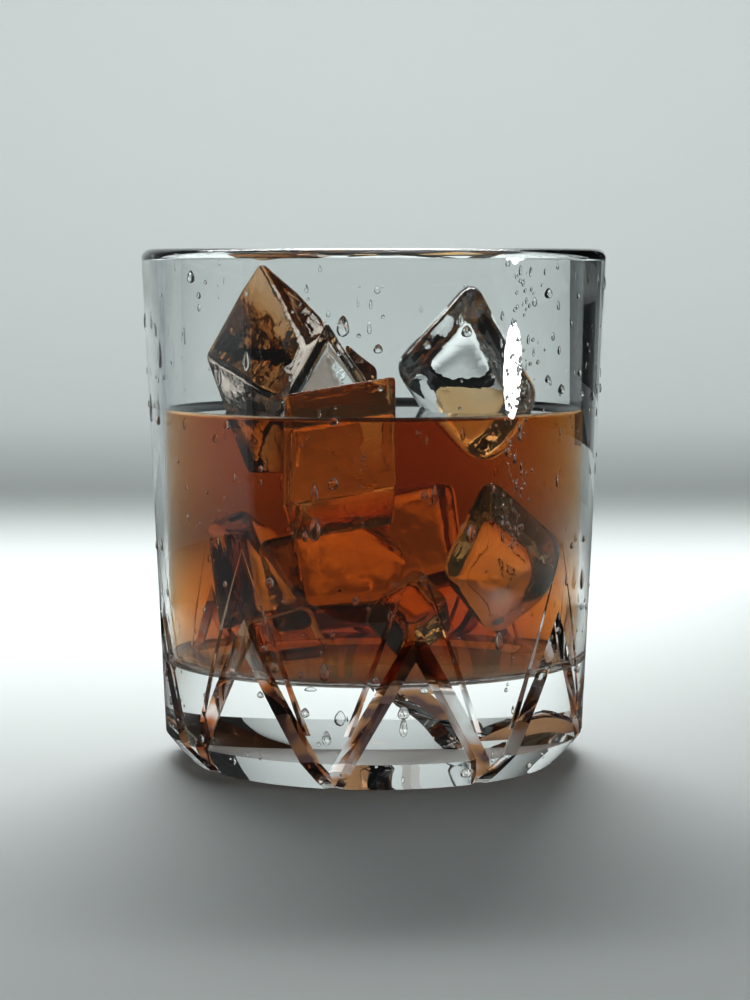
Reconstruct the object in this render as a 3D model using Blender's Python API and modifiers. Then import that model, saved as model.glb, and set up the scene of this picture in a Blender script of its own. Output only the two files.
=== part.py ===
"""Whisky on the rocks: a heavy cut-glass tumbler, the whisky in it and the ice that stands out of it.

Metres, +Z up, the tumbler standing on z = 0 about the Z axis, its front towards -Y.
"""

import bmesh
import bpy
from math import cos, pi, radians, sin
from mathutils import Euler, Vector

# Tumbler
HEIGHT = 0.0925
FOOT_RADIUS = 0.0379  # the outer wall carried down to the table
RIM_RADIUS = 0.0420
LIP = 0.0019  # radius of the rounded lip, half the wall at the rim
FLOOR_Z = 0.0182  # top of the thick base
FLOOR_RADIUS = 0.0367  # inner wall carried down to the floor
FLOOR_ROUND = 0.0020
BASE_RADIUS = 0.0335  # flat underside
BEVEL_HEIGHT = 0.0052  # the foot's rounded bevel
BEVEL_BULGE = 0.0002
TURN_STEPS = 96

# Cuts round the wall, in 8 equal repeats
REPEATS = 8
APEX_ANGLE = 10.5  # degrees round from the front of the apex nearest to it
STEP = 360 / REPEATS
WIDE_TOP = 0.0262  # height where the grooves of a wide chevron meet
WIDE_HALF = 0.0018
WIDE_DEPTH = 0.0014
TALL_TOP = 0.0415
TALL_START = 0.0100  # the fine grooves run up out of the wide ones from here
TALL_HALF = 0.0009
TALL_DEPTH = 0.0005
LIFT = 0.0015  # how far the cutters stand out of the wall

# Whisky
LEVEL_Z = 0.0635
GAP = 0.00035  # round the whisky, to the tumbler and to the ice

# Ice in millimetres: x and z round a four-sided face, y at the face's first corner and how
# far it leans back for each mm of rise, the way to the face behind it, the size of that one
# against the first, and the rounding of the edges
ICE = {
    "ice_left": (((-21.4, 90.2), (-8.9, 79.4), (-22.5, 52), (-31.8, 73.8)), (12, 0.45), (9, 24, -13), 0.50, 1.4),
    "ice_right": (((19.0, 88.6), (31.8, 67.2), (20.4, 53.5), (1.8, 73)), (14, 0.80), (-0.75, 21, -8), 0.60, 4.4),
    "ice_front": (((-15.3, 67.8), (3.7, 71), (3.8, 51.9), (-15.3, 48.8)), (-21, 0.47), (0.3, 16.3, -8.7), 0.92, 0.8),
    "ice_small": (((-8.4, 79.9), (-1.0, 69.5), (-8, 65.2), (-16.6, 65.5)), (-7, 0.28), (0.2, 7, -3.6), 0.93, 0.9),
    "ice_back": (((-5.6, 75.8), (0.6, 71.2), (0.6, 58), (-3.4, 58)), (18, 0.25), (0.5, 12, -10), 0.80, 0.8),
}


def outer_radius(z):
    """Radius of the outer wall, with the rounded bevel at the foot."""
    wall = FOOT_RADIUS + (RIM_RADIUS - FOOT_RADIUS) * z / HEIGHT
    if z >= BEVEL_HEIGHT:
        return wall
    part = z / BEVEL_HEIGHT
    top = FOOT_RADIUS + (RIM_RADIUS - FOOT_RADIUS) * BEVEL_HEIGHT / HEIGHT
    return BASE_RADIUS + (top - BASE_RADIUS) * part + 4 * BEVEL_BULGE * part * (1 - part)


def inner_radius(z):
    """Radius of the inner wall, without the rounding at the floor."""
    rim = RIM_RADIUS - 2 * LIP
    return FLOOR_RADIUS + (rim - FLOOR_RADIUS) * (z - FLOOR_Z) / (HEIGHT - FLOOR_Z)


def cavity_profile(inset, top):
    """Points from the middle of the floor out and up the inner wall, pulled in by inset."""
    turn = FLOOR_ROUND - inset
    floor = FLOOR_Z + inset
    middle = inner_radius(floor + turn) - inset - turn
    points = [(0, floor)]
    for i in range(5):
        angle = pi / 2 * i / 4
        points.append((middle + turn * sin(angle), floor + turn - turn * cos(angle)))
    points.append((inner_radius(top) - inset, top))
    return points


def tumbler_profile():
    """Half section from the floor's middle, over the lip, down the outer side, to the underside's middle."""
    lip_z = HEIGHT - LIP
    points = cavity_profile(0, lip_z)
    middle = RIM_RADIUS - LIP
    for i in range(1, 8):
        angle = pi * i / 8
        points.append((middle - LIP * cos(angle), lip_z + LIP * sin(angle)))
    for i in range(9):
        z = lip_z + (BEVEL_HEIGHT - lip_z) * i / 8
        points.append((outer_radius(z), z))
    for i in range(1, 5):
        z = BEVEL_HEIGHT * (1 - i / 4)
        points.append((outer_radius(z), z))
    points.append((0, 0))
    return points


def new_object(name, mesh, collection, material=None):
    made = bpy.data.objects.new(name, mesh)
    collection.objects.link(made)
    if material:
        mesh.materials.append(material)
    return made


def turned(name, points, collection, material=None):
    """A half section turned about the Z axis by a Screw modifier."""
    mesh = bpy.data.meshes.new(name)
    mesh.from_pydata([(r, 0, z) for r, z in points], [(i, i + 1) for i in range(len(points) - 1)], [])
    made = new_object(name, mesh, collection, material)
    screw = made.modifiers.new("Turn", "SCREW")
    screw.axis = "Z"
    screw.steps = TURN_STEPS
    screw.render_steps = TURN_STEPS
    screw.use_merge_vertices = True
    screw.merge_threshold = 0.00001
    return made


def cut_from(target, cutter):
    boolean = target.modifiers.new("Cut " + cutter.name, "BOOLEAN")
    boolean.operation = "DIFFERENCE"
    boolean.solver = "EXACT"
    boolean.object = cutter


def chevron(name, angle, top, half, depth, keep_depth):
    """A V-section groove up each side to an apex: its right leg is swept, clipped at the middle and mirrored."""
    reach = radians(STEP / 2)
    over = 1.0 + half / (reach * outer_radius(top)) * 1.05
    bm = bmesh.new()
    rows = []
    heights = [-0.0012, -0.0003, BEVEL_HEIGHT * 0.5, BEVEL_HEIGHT] if keep_depth else [TALL_START]
    start = heights[-1]
    heights += [start + (top * over - start) * i / 10 for i in range(1, 11)]
    for z in heights:
        radius = outer_radius(max(z, 0))
        along = z / top
        share = 1 if keep_depth else max(1 - along, 0) + 0.02
        deep = depth * share
        side = reach * (1 - along)
        spread = half * share * (deep + LIFT) / deep
        for offset, out in ((-spread, LIFT), (0, -deep), (spread, LIFT)):
            turn = side + offset / radius
            point = Vector((sin(turn), -cos(turn), 0)) * (radius + out)
            rows.append(bm.verts.new((point.x, point.y, z)))
    rings = [rows[i:i + 3] for i in range(0, len(rows), 3)]
    for low, high in zip(rings, rings[1:]):
        for i in range(3):
            j = (i + 1) % 3
            bm.faces.new((low[i], low[j], high[j], high[i]))
    bm.faces.new(rings[0][::-1])
    bm.faces.new(rings[-1])
    everything = bm.verts[:] + bm.edges[:] + bm.faces[:]
    bmesh.ops.bisect_plane(bm, geom=everything, plane_co=(0, 0, 0), plane_no=(-1, 0, 0), clear_outer=True)
    bmesh.ops.mirror(bm, geom=bm.verts[:] + bm.edges[:] + bm.faces[:], axis="X", merge_dist=0.00002)
    bmesh.ops.recalc_face_normals(bm, faces=bm.faces[:])
    bmesh.ops.rotate(bm, verts=bm.verts[:], cent=(0, 0, 0), matrix=Euler((0, 0, radians(angle))).to_matrix())
    mesh = bpy.data.meshes.new(name)
    bm.to_mesh(mesh)
    bm.free()
    return new_object(name, mesh, cutters)


def ice_lump(name, grow, collection, material=None):
    """The body between a leaning four-sided face and a smaller one behind it, rounded at its edges."""
    face, lean, back, taper, rounding = ICE[name]
    corners = [Vector((x, lean[0] + (z - face[0][1]) * lean[1], z)) for x, z in face]
    centre = sum(corners, Vector()) / 4
    behind = [centre + Vector(back) + (corner - centre) * taper for corner in corners]
    bm = bmesh.new()
    for corner in corners + behind:
        bm.verts.new(corner * 0.001)
    bmesh.ops.convex_hull(bm, input=bm.verts[:])
    bmesh.ops.dissolve_limit(bm, angle_limit=radians(4), verts=bm.verts[:], edges=bm.edges[:])
    bmesh.ops.recalc_face_normals(bm, faces=bm.faces[:])
    shifts = [corner.normal * corner.calc_shell_factor() * grow for corner in bm.verts]
    for corner, shift in zip(bm.verts, shifts):
        corner.co += shift
    mesh = bpy.data.meshes.new(name)
    bm.to_mesh(mesh)
    bm.free()
    made = new_object(name if not grow else name + "_room", mesh, collection, material)
    bevel = made.modifiers.new("Round", "BEVEL")
    bevel.width = rounding * 0.001
    bevel.segments = 3
    bevel.limit_method = "ANGLE"
    bevel.angle_limit = radians(20)
    return made


def plain_material(name, colour, roughness, transmission):
    made = bpy.data.materials.new(name)
    made.use_nodes = True
    shader = made.node_tree.nodes["Principled BSDF"]
    shader.inputs["Base Color"].default_value = (*colour, 1)
    shader.inputs["Roughness"].default_value = roughness
    shader.inputs["Transmission Weight"].default_value = transmission
    return made


for old in list(bpy.data.objects):
    bpy.data.objects.remove(old, do_unlink=True)

drink = bpy.data.collections.new("whisky_on_the_rocks")
bpy.context.scene.collection.children.link(drink)
cutters = bpy.data.collections.new("cutters")
bpy.context.scene.collection.children.link(cutters)
cutters.hide_render = True

clear_glass = plain_material("clear_glass", (0.90, 0.93, 0.92), 0.02, 1)
whisky_amber = plain_material("whisky_amber", (0.45, 0.17, 0.04), 0.02, 0.8)

# Tumbler with its wide chevrons in the base and a tall fine one over each
tumbler = turned("tumbler", tumbler_profile(), drink, clear_glass)
for k in range(REPEATS):
    cut_from(tumbler, chevron(f"wide_{k}", APEX_ANGLE + k * STEP, WIDE_TOP, WIDE_HALF, WIDE_DEPTH, True))
for k in range(REPEATS):
    cut_from(tumbler, chevron(f"tall_{k}", APEX_ANGLE + k * STEP, TALL_TOP, TALL_HALF, TALL_DEPTH, False))

# Whisky up to its level, with room for the ice that stands in it
whisky = turned("whisky", [(0, LEVEL_Z)] + cavity_profile(GAP, LEVEL_Z)[::-1], drink, whisky_amber)
for name in ICE:
    material = plain_material(name + "_clear", (0.86, 0.90, 0.90), 0.05, 1)
    ice_lump(name, 0, drink, material)
    cut_from(whisky, ice_lump(name, GAP, cutters))

for helper in cutters.objects:
    helper.hide_render = True
    helper.display_type = "WIRE"
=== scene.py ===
from math import cos, exp, hypot, pi, radians, sin, tau
from random import Random

import bmesh
import bpy
from mathutils import Matrix, Vector


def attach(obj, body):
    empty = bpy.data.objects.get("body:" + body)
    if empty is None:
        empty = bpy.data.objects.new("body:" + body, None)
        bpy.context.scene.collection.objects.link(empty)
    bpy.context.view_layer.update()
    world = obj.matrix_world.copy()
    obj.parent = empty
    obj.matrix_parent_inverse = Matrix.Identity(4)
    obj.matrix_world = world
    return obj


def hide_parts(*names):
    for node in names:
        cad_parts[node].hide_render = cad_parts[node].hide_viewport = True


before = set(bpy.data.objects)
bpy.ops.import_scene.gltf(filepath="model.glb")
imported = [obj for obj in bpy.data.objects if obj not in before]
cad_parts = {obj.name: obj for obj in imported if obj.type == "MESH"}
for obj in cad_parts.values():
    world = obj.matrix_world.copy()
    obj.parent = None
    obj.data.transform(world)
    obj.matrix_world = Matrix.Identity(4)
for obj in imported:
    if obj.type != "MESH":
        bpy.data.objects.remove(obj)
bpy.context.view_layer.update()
scene = bpy.context.scene


# Tumbler: heavy clear crystal, blown into a mould, with a thick base that is ground hollow below.
# The mitre grooves are cut into the outside with a V-edged wheel and polished clear. The wide
# ones carry painted refraction: the whisky's amber and dark reflections are painted in streaks on their
# facets.
height = 0.0925
foot_radius = 0.0379  # the outer wall carried down to the table
outer_lean = 0.0041
base_radius = 0.0335  # the flat ring's edge, below the foot's rounded bevel
bevel_height = 0.0052
bevel_radius = 0.03813
bevel_bulge = 0.0008
floor_z = 0.0182
floor_radius = 0.0367  # the inner wall carried down to the floor
floor_round = 0.0020
inner_lean = 0.0015
lip = 0.0019
lip_z = height - lip
standing_ring = 0.0325  # a row within the flat ring that it stands on
hollow_radius = 0.0310
hollow_depth = 0.0012


def outer_radius(z):
    wall = foot_radius + outer_lean * z / height
    if z >= bevel_height:
        return wall
    part = max(z, 0) / bevel_height
    return base_radius + (bevel_radius - base_radius) * part + bevel_bulge * part * (1 - part)


def inner_radius(z):
    return floor_radius + inner_lean * (z - floor_z) / (height - floor_z)


def turned(name, points, steps):
    """A half section turned about the Z axis."""
    mesh = bpy.data.meshes.new(name)
    mesh.from_pydata([(r, 0, z) for r, z in points], [(i, i + 1) for i in range(len(points) - 1)], [])
    made = bpy.data.objects.new(name, mesh)
    scene.collection.objects.link(made)
    screw = made.modifiers.new("Turn", "SCREW")
    screw.axis = "Z"
    screw.steps = screw.render_steps = steps
    screw.use_merge_vertices = True
    screw.merge_threshold = 0.000005
    return made


def applied(made, sharp):
    """The object with its modifiers applied, shaded smooth, with edges over the angle kept sharp."""
    mesh = bpy.data.meshes.new_from_object(made.evaluated_get(bpy.context.evaluated_depsgraph_get()))
    made.modifiers.clear()
    made.data = mesh
    mesh.shade_smooth()
    mesh.set_sharp_from_angle(angle=radians(sharp))
    return made


def floor_corner(inset):
    """Points from the floor's middle out to the foot of the inner wall, moved into the glass by inset."""
    points = [(0, floor_z - inset)]
    middle = inner_radius(floor_z + floor_round) + inset - floor_round
    for i in range(9):
        angle = pi / 2 * i / 8
        z = floor_z - inset + floor_round - floor_round * cos(angle)
        points.append((middle + floor_round * sin(angle), z))
    return points


def clear_material(name, colour, bend):
    """A polished material that light goes through, with its index of refraction."""
    made = bpy.data.materials.new(name)
    made.use_nodes = True
    shader = made.node_tree.nodes["Principled BSDF"]
    shader.inputs["Base Color"].default_value = colour
    shader.inputs["Roughness"].default_value = 0.0
    shader.inputs["IOR"].default_value = bend
    shader.inputs["Transmission Weight"].default_value = 1
    return made


lip_middle = foot_radius + outer_lean - lip
section = floor_corner(0)
section += [(inner_radius(z), z) for z in (0.03, 0.045, 0.06, 0.075, lip_z)]
for i in range(1, 16):
    angle = pi * i / 16
    section.append((lip_middle - lip * cos(angle), lip_z + lip * sin(angle)))
wall_rows = [lip_z + (bevel_height - lip_z) * i / 16 for i in range(17)]
bevel_rows = [bevel_height * (1 - i / 8) for i in range(1, 9)]
section += [(outer_radius(z), z) for z in wall_rows + bevel_rows]
section.append((standing_ring, 0))
section += [(hollow_radius * (1 - i / 8), hollow_depth * sin(pi / 2 * i / 8)) for i in range(9)]
tumbler = turned("tumbler_cut", section, 256)

repeats = 8
step = 360 / repeats
apex = 10.5  # degrees round from the front to the nearest one
wide_top = 0.0262
wide_half = 0.0018  # half of a groove's width at its widest
wide_depth = 0.0014
tall_top = 0.0415
tall_half = 0.0009
tall_depth = 0.0005
tall_start = 0.0100  # the fine grooves rise out of the wide ones here
least = 0.02  # share of its depth that a fine groove keeps up to its apex
below_foot = [-0.0012, -0.0003]
lift = 0.0015  # how far a cutter stands out of the wall
overrun = 1.05  # how far a leg goes past the middle, in half widths


def chevron(angle, top, half, depth, tapered):
    """A groove up each side to an apex: one leg is swept, clipped at the middle and mirrored."""
    reach = radians(step / 2)
    end = top * (1 + overrun * half / (reach * outer_radius(top)))
    bm = bmesh.new()
    heights = below_foot + [bevel_height * i / 4 for i in range(1, 5)]
    if tapered:
        heights = [tall_start]
    start = heights[-1]
    heights += [start + (end - start) * i / 16 for i in range(1, 17)]
    rings = []
    for z in heights:
        share = max(1 - z / top, 0) + least if tapered else 1
        deep = depth * share
        spread = half * share * (deep + lift) / deep
        ring = []
        for offset, out in ((-spread, lift), (0, -deep), (spread, lift)):
            turn = reach * (1 - z / top) + offset / outer_radius(z)
            radius = outer_radius(z) + out
            ring.append(bm.verts.new((radius * sin(turn), -radius * cos(turn), z)))
        rings.append(ring)
    for low, high in zip(rings, rings[1:]):
        for i in range(3):
            bm.faces.new((low[i], low[i - 2], high[i - 2], high[i]))
    bm.faces.new(rings[0][::-1])
    bm.faces.new(rings[-1])
    geometry = bm.verts[:] + bm.edges[:] + bm.faces[:]
    bmesh.ops.bisect_plane(bm, geom=geometry, plane_co=(0, 0, 0), plane_no=(-1, 0, 0), clear_outer=True)
    bmesh.ops.mirror(bm, geom=bm.verts[:] + bm.edges[:] + bm.faces[:], axis="X", merge_dist=0.00002)
    bmesh.ops.recalc_face_normals(bm, faces=bm.faces[:])
    bmesh.ops.rotate(bm, verts=bm.verts[:], matrix=Matrix.Rotation(radians(angle), 3, "Z"))
    mesh = bpy.data.meshes.new("groove")
    bm.to_mesh(mesh)
    bm.free()
    cutter = bpy.data.objects.new("groove", mesh)
    scene.collection.objects.link(cutter)
    boolean = tumbler.modifiers.new("Groove", "BOOLEAN")
    boolean.operation = "DIFFERENCE"
    boolean.object = cutter
    return cutter


grooves = []
for k in range(repeats):
    grooves.append(chevron(apex + step * k, wide_top, wide_half, wide_depth, False))
for k in range(repeats):
    grooves.append(chevron(apex + step * k, tall_top, tall_half, tall_depth, True))
applied(tumbler, 14)
for groove in grooves:
    bpy.data.objects.remove(groove)

crystal = clear_material("crystal", (0.97, 0.99, 0.985, 1), 1.5)

# The groove facets' colour is painted refraction and reflection: streaks of the whisky's amber and dark
# wine, not a tint of the glass.
facets = crystal.copy()
facets.name = "crystal_cuts_painted_whisky"
nodes = facets.node_tree.nodes
links = facets.node_tree.links
spots = nodes.new("ShaderNodeTexCoord")
streaks = nodes.new("ShaderNodeTexNoise")
streaks.inputs["Scale"].default_value = 110
streaks.inputs["Detail"].default_value = 2
painted_whisky_ramp = nodes.new("ShaderNodeValToRGB")
painted_dark_reflection, bright = painted_whisky_ramp.color_ramp.elements
painted_dark_reflection.position = 0.40
painted_dark_reflection.color = (0.025, 0.008, 0.007, 1)
bright.position = 0.64
bright.color = (0.93, 0.95, 0.94, 1)
painted_whisky_refraction = painted_whisky_ramp.color_ramp.elements.new(0.5)
painted_whisky_refraction.color = (0.36, 0.09, 0.02, 1)
links.new(spots.outputs["Object"], streaks.inputs["Vector"])
links.new(streaks.outputs[0], painted_whisky_ramp.inputs[0])
links.new(painted_whisky_ramp.outputs[0], nodes["Principled BSDF"].inputs["Base Color"])

ground = crystal.copy()
ground.name = "crystal_ground"
ground.node_tree.nodes["Principled BSDF"].inputs["Roughness"].default_value = 0.4

tumbler.data.materials.clear()
for glass in (crystal, facets, ground):
    tumbler.data.materials.append(glass)
facet_low = 0.0006
facet_high = wide_top + 0.0008
facet_shallow = 0.00004
facet_deep = wide_depth + 0.0004
faces_down = -0.95
# Faces sunk into the wide grooves take the painted whisky refraction and reflection.
for face in tumbler.data.polygons:
    x, y, z = face.center
    sunk = outer_radius(z) - hypot(x, y)
    is_facet = facet_low < z < facet_high and facet_shallow < sunk < facet_deep
    face.material_index = 1 if is_facet else 0
    if face.normal.z < faces_down:
        face.material_index = 2
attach(tumbler, "root")
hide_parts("tumbler")


# Ice: clear lumps of frozen water, broken by hand, their edges melted round and their faces
# dented by the melting. Five stand out of the whisky and six lie wholly sunk in it. The left
# one has the whisky's brown and the shade under the glass, seen through it, painted into its colour.
ice = clear_material("ice", (0.98, 0.99, 0.99, 1), 1.31)
nodes = ice.node_tree.nodes
links = ice.node_tree.links
spots = nodes.new("ShaderNodeTexCoord")
melt = nodes.new("ShaderNodeTexNoise")
melt.inputs["Scale"].default_value = 95
melt.inputs["Detail"].default_value = 4
melt.inputs["Roughness"].default_value = 0.45
dents = nodes.new("ShaderNodeBump")
dents.inputs["Strength"].default_value = 0.5
dents.inputs["Distance"].default_value = 0.0012
links.new(spots.outputs["Object"], melt.inputs["Vector"])
links.new(melt.outputs[0], dents.inputs["Height"])
links.new(dents.outputs[0], nodes["Principled BSDF"].inputs["Normal"])

# The left lump's brown is painted refraction and shade: the whisky and the dark floor under the glass,
# seen through the ice, painted into its colour.
painted_brown_ice = ice.copy()
painted_brown_ice.name = "ice_painted_brown"
painted_brown_ice.node_tree.nodes["Principled BSDF"].inputs["Base Color"].default_value = (0.66, 0.54, 0.48, 1)

mm = 0.001
lumps = []


def ice_lump(name, face, lean, back, taper, rounding):
    """A lump between a flat face that leans back and a smaller one behind it, its edges melted round.

    All in millimetres: the face's corners are x and z, and lean is y at the first of them and how far
    the face goes back for each of rise. back is the way to the other face, whose size is taper of this.
    """
    first_y, slope = lean
    first_z = face[0][1]
    middle_x, middle_z = (sum(along) / len(face) for along in zip(*face))
    middle = Vector((middle_x, first_y + (middle_z - first_z) * slope, middle_z))
    bm = bmesh.new()
    for x, z in face:
        corner = Vector((x, first_y + (z - first_z) * slope, z))
        bm.verts.new(corner * mm)
        bm.verts.new((middle + Vector(back) + (corner - middle) * taper) * mm)
    bmesh.ops.convex_hull(bm, input=bm.verts[:])
    bmesh.ops.dissolve_limit(bm, angle_limit=radians(4), verts=bm.verts[:], edges=bm.edges[:])
    bmesh.ops.recalc_face_normals(bm, faces=bm.faces[:])
    mesh = bpy.data.meshes.new(name)
    bm.to_mesh(mesh)
    bm.free()
    made = bpy.data.objects.new(name, mesh)
    scene.collection.objects.link(made)
    bevel = made.modifiers.new("Round", "BEVEL")
    bevel.width = rounding * mm
    bevel.segments = 5
    bevel.limit_method = "ANGLE"
    bevel.angle_limit = radians(20)
    applied(made, 35)
    made.data.materials.append(ice)
    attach(made, "root")
    lumps.append(made)
    return made


left = ice_lump("ice_left_cube", ((-21.4, 90.2), (-8.9, 79.4), (-22.5, 52), (-31.8, 73.8)),
                lean=(12, 0.45), back=(9, 24, -13), taper=0.5, rounding=1.4)
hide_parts("ice_left")
# The left lump takes the painted brown of the whisky and shade seen through it.
left.data.materials[0] = painted_brown_ice
right = ice_lump("ice_right_cube", ((19.0, 88.6), (31.8, 67.2), (20.4, 53.5), (1.8, 73)),
                 lean=(14, 0.80), back=(-0.75, 21, -8), taper=0.60, rounding=4.4)
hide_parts("ice_right")
front = ice_lump("ice_front_cube", ((-15.3, 67.8), (3.7, 71), (3.8, 51.9), (-15.3, 48.8)),
                 lean=(-21, 0.47), back=(0.3, 16.3, -8.7), taper=0.92, rounding=0.8)
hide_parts("ice_front")
small = ice_lump("ice_small_cube", ((-8.4, 79.9), (-1.0, 69.5), (-8, 65.2), (-16.6, 65.5)),
                 lean=(-7, 0.28), back=(0.2, 7, -3.6), taper=0.93, rounding=0.9)
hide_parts("ice_small")
back = ice_lump("ice_back_cube", ((-5.6, 75.8), (0.6, 71.2), (0.6, 58), (-3.4, 58)),
                lean=(18, 0.25), back=(0.5, 12, -10), taper=0.8, rounding=0.8)
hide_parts("ice_back")
ice_lump("ice_sunk_right", ((19.5, 55), (33, 42.5), (31, 33), (20.5, 24.5), (10.5, 37)),
         lean=(-17, 0.25), back=(-1, 15, -5), taper=0.6, rounding=3.5)
ice_lump("ice_sunk_low", ((-21, 41), (-3, 44.5), (6, 38), (3, 25), (-18, 23)),
         lean=(-14, -0.3), back=(3, 15, 3), taper=0.7, rounding=1.8)
ice_lump("ice_sunk_mid", ((6, 36), (14, 27), (5, 20.5), (-3, 29)),
         lean=(-26, 0.3), back=(2, 9, 4), taper=0.7, rounding=1.8)
ice_lump("ice_sunk_floor", ((-24, 27), (-12, 30), (-8, 21), (-22, 19.5)),
         lean=(-20, 0.3), back=(2, 6, 1), taper=0.8, rounding=1.5)
ice_lump("ice_sunk_left", ((-30, 44), (-23, 47), (-15.5, 30), (-27, 25)),
         lean=(-9, 0.5), back=(5, 20, -3), taper=0.75, rounding=1.8)
ice_lump("ice_sunk_back", ((2, 47), (15, 50), (18, 30), (4, 27)),
         lean=(8, -0.4), back=(-2, 14, 2), taper=0.8, rounding=1.8)


# Whisky: clear amber spirit, poured to its level over the ice. It reaches just into the glass and
# the ice, and creeps up the wall at its edge. Light bends fully at its open face alone, since
# the glass and the ice already bend it where the whisky touches them.
level = 0.0635
overlap = 0.00005
creep = 0.0009
creep_step = 0.00025
creep_fall = 0.55
section = floor_corner(overlap)
section += [(inner_radius(z) + overlap, z) for z in (0.03, 0.045, 0.06, level + creep)]
for i in range(1, 10):
    section.append((inner_radius(level) - creep_step * i, level + creep * exp(-creep_fall * i)))
section += [(0.030, level), (0.015, level), (0, level)]
whisky = turned("whisky_drink", section[::-1], 192)
cutters = []
for lump in lumps:
    cutter = bpy.data.objects.new("ice_room", lump.data.copy())
    for vertex in cutter.data.vertices:
        vertex.co -= vertex.normal * overlap
    scene.collection.objects.link(cutter)
    boolean = whisky.modifiers.new("Room", "BOOLEAN")
    boolean.operation = "DIFFERENCE"
    boolean.object = cutter
    cutters.append(cutter)
applied(whisky, 35)
for cutter in cutters:
    bpy.data.objects.remove(cutter)
whisky.data.materials.clear()
for name, bend in (("whisky_face", 1.36), ("whisky_wall", 1.01)):
    amber = clear_material(name, (1, 1, 1, 1), bend)
    nodes = amber.node_tree.nodes
    absorb = nodes.new("ShaderNodeVolumeAbsorption")
    absorb.inputs["Color"].default_value = (0.85, 0.565, 0.14, 1)
    absorb.inputs["Density"].default_value = 120
    amber.node_tree.links.new(absorb.outputs[0], nodes["Material Output"].inputs["Volume"])
    whisky.data.materials.append(amber)
for face in whisky.data.polygons:
    is_open = face.center.z > level - 0.0001 and face.normal.z > 0.2
    face.material_index = 0 if is_open else 1
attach(whisky, "root")
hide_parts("whisky")


# Condensed drops on the outside: beads of water that have settled at random, and longer ones that
# have begun to run. The first are fine and lie close together up the front at the right. Each
# reaches a little into the glass.
bead_count = 560
fine_count = 150
fine_side = 36.5  # degrees round from the front
fine_scatter = 2.6
fine_low = 0.042
lowest = 0.002
highest = 0.0900
running = 0.3  # share of the beads that are long
bulge = 0.45  # how far a bead stands out, against half its width
narrowing = 0.35
sinking = 0.05
draw = Random(7)
bm = bmesh.new()
for i in range(bead_count):
    fine = i < fine_count
    turn = radians(draw.gauss(fine_side, fine_scatter)) if fine else draw.uniform(0, tau)
    z = draw.uniform(fine_low, highest) if fine else draw.uniform(lowest, highest)
    size = draw.uniform(0.00015, 0.0004) if fine else 0.00028 + 0.0008 * draw.random() ** 3
    runs = draw.random() < running
    tall = size * (draw.uniform(1.6, 3.2) if runs else draw.uniform(0.9, 1.2))
    bead = bmesh.ops.create_icosphere(bm, subdivisions=2, radius=1)["verts"]
    for vertex in bead:
        vertex.co = Vector((vertex.co.x * size, vertex.co.y * size * bulge, vertex.co.z * tall))
        vertex.co.x *= 1 - narrowing * vertex.co.z / tall
        vertex.co += Vector((0, -outer_radius(z) + size * sinking, 0))
    bmesh.ops.rotate(bm, verts=bead, matrix=Matrix.Rotation(turn, 3, "Z"))
    bmesh.ops.translate(bm, verts=bead, vec=(0, 0, z))
mesh = bpy.data.meshes.new("drops")
bm.to_mesh(mesh)
bm.free()
mesh.shade_smooth()
drops = bpy.data.objects.new("drops", mesh)
scene.collection.objects.link(drops)
drops.data.materials.append(clear_material("water", (0.98, 0.99, 0.99, 1), 1.33))
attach(drops, "root")


# Stage: a pale paper floor and, further back, its sweep that curves up into the backdrop, a dark
# card bent round the right behind the glass that draws its edge, a pale card at the left, and
# soft lamps from above and behind.
drop = -0.0002  # the paper lies just under the foot
front_edge = -0.22
seam = 0.45
curve_start = 0.9
curve_radius = 0.6
curve_rows = [pi / 2 * i / 12 for i in range(1, 13)]
curve = [(curve_start + curve_radius * sin(a), curve_radius - curve_radius * cos(a)) for a in curve_rows]
wall_top = (curve_start + curve_radius, 2.2)
half_width = 2.5


def matt_material(name, colour, roughness):
    made = bpy.data.materials.new(name)
    made.use_nodes = True
    shader = made.node_tree.nodes["Principled BSDF"]
    shader.inputs["Base Color"].default_value = colour
    shader.inputs["Roughness"].default_value = roughness
    return made


def sheet(name, corners, material):
    """A sheet of paper or card through pairs of corners."""
    mesh = bpy.data.meshes.new(name)
    pairs = range(0, len(corners) - 2, 2)
    mesh.from_pydata(corners, [], [(i, i + 1, i + 3, i + 2) for i in pairs])
    mesh.materials.append(material)
    made = bpy.data.objects.new(name, mesh)
    scene.collection.objects.link(made)
    return made


paper = matt_material("pale_paper", (0.72, 0.78, 0.77, 1), 0.7)
for name, profile in (
    ("floor", [(front_edge, drop), (seam, drop)]),
    ("sweep", [(seam, drop), (curve_start, drop)] + curve + [wall_top]),
):
    sweep = sheet(name, [(x, y, z) for y, z in profile for x in (-half_width, half_width)], paper)
    sweep.data.shade_smooth()
    sweep.visible_glossy = name == "sweep"

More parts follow.
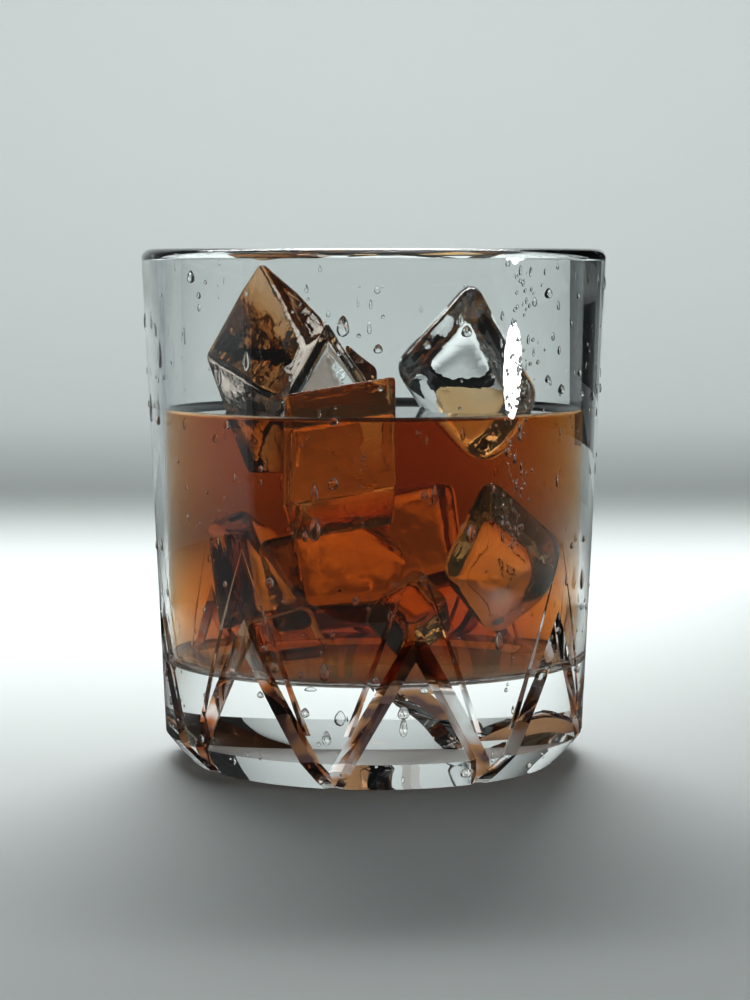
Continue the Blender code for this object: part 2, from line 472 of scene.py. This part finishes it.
# Each card: its first and last angle round from the back, its radius, heights and colour
for name, first, last, radius, low, high, colour in (
    ("dark_card", 24, 105, 0.30, 0.045, 0.40, (0.02, 0.025, 0.025, 1)),
    ("pale_card", -118, -44, 0.28, 0.0, 0.12, (0.70, 0.75, 0.78, 1)),
):
    ring = [radians(first + (last - first) * i / 16) for i in range(17)]
    corners = [(radius * sin(a), radius * cos(a), z) for a in ring for z in (low, high)]
    card = sheet(name, corners, matt_material(name, colour, 0.9))
    card.visible_camera = False

world = bpy.data.worlds.new("studio")
scene.world = world
world.use_nodes = True
world.node_tree.nodes["Background"].inputs["Color"].default_value = (0.85, 0.93, 0.92, 1)
world.node_tree.nodes["Background"].inputs["Strength"].default_value = 0.06

# Each lamp: where it hangs, what it points at, its width and depth, spread in degrees and watts
for name, place, aim, size, spread, energy in (
    ("backdrop", (0.0, 0.75, 1.3), (0, 1.4, 0.3), (1.8, 0.6), 110, 6.5),
    ("behind", (0.0, 0.5, 0.55), (0, 0.18, 0), (0.9, 0.15), 60, 1.6),
    ("top", (0.0, 0.1, 1.2), (0, 0.1, 0), (0.5, 0.5), 180, 1.0),
    ("strip", (0.278, -0.112, 0.0405), (0, 0, 0.07), (0.056, 0.026), 180, 0.15),
):
    light = bpy.data.lights.new(name, "AREA")
    light.shape = "ELLIPSE" if name == "strip" else "RECTANGLE"
    light.size, light.size_y = size
    light.spread = radians(spread)
    light.energy = energy
    lamp = bpy.data.objects.new(name, light)
    lamp.location = place
    lamp.rotation_euler = (Vector(aim) - Vector(place)).to_track_quat("-Z", "Y").to_euler()
    lamp.visible_camera = False
    lamp.visible_transmission = name not in ("behind", "strip")
    scene.collection.objects.link(lamp)

scene.cycles.max_bounces = 24
scene.cycles.transmission_bounces = 24
scene.cycles.glossy_bounces = 8
scene.cycles.volume_bounces = 0
scene.view_settings.view_transform = "Standard"

looks_down = 5.5
camera = bpy.data.objects.new("camera", bpy.data.cameras.new("camera"))
camera.data.lens = 96.1
camera.data.sensor_width = 36
camera.data.clip_start = 0.01
camera.location = (0.0002, -0.485, 0.0935)
camera.rotation_euler = (radians(90 - looks_down), 0, 0)
scene.collection.objects.link(camera)
scene.camera = camera
